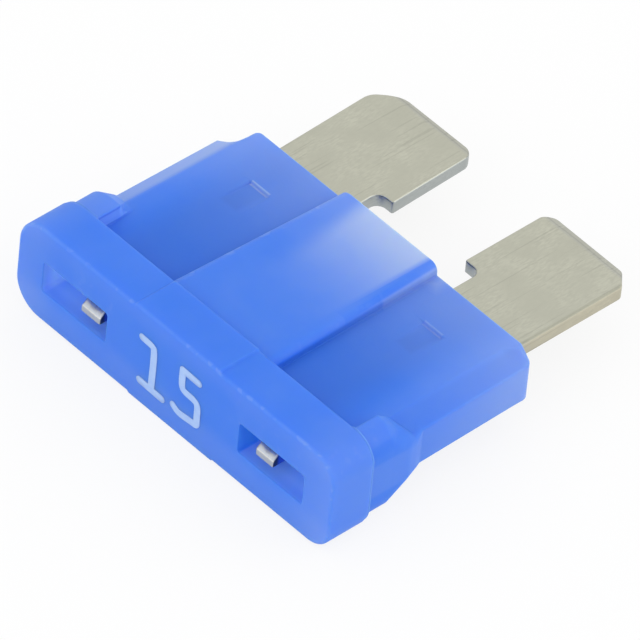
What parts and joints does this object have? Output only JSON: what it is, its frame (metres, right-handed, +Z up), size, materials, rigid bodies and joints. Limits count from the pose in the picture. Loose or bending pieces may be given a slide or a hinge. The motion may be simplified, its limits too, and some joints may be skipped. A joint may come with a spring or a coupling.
{
  "type": "automotive blade fuse",
  "caption": "Plug-in blade fuse: a stamped metal element with flat blades in a milky blue moulded housing, its rating printed on the head.",
  "frame": {"origin": "under the middle of the overall box, on the surface that the fuse lies on", "axes": "+X along the head, +Y from the head to the blade tips, +Z up through the thickness"},
  "size_m": [0.019, 0.0188, 0.0051],
  "materials": {
    "housing_plastic": "satin, milky translucent",
    "tinned_metal": "tin plated, fine lengthwise scratches",
    "print_ink": "matte print"
  },
  "bodies": {
    "root": {"housing": "housing_plastic", "fuse_element": "tinned_metal", "rating_number": "print_ink"}
  },
  "joints": []
}
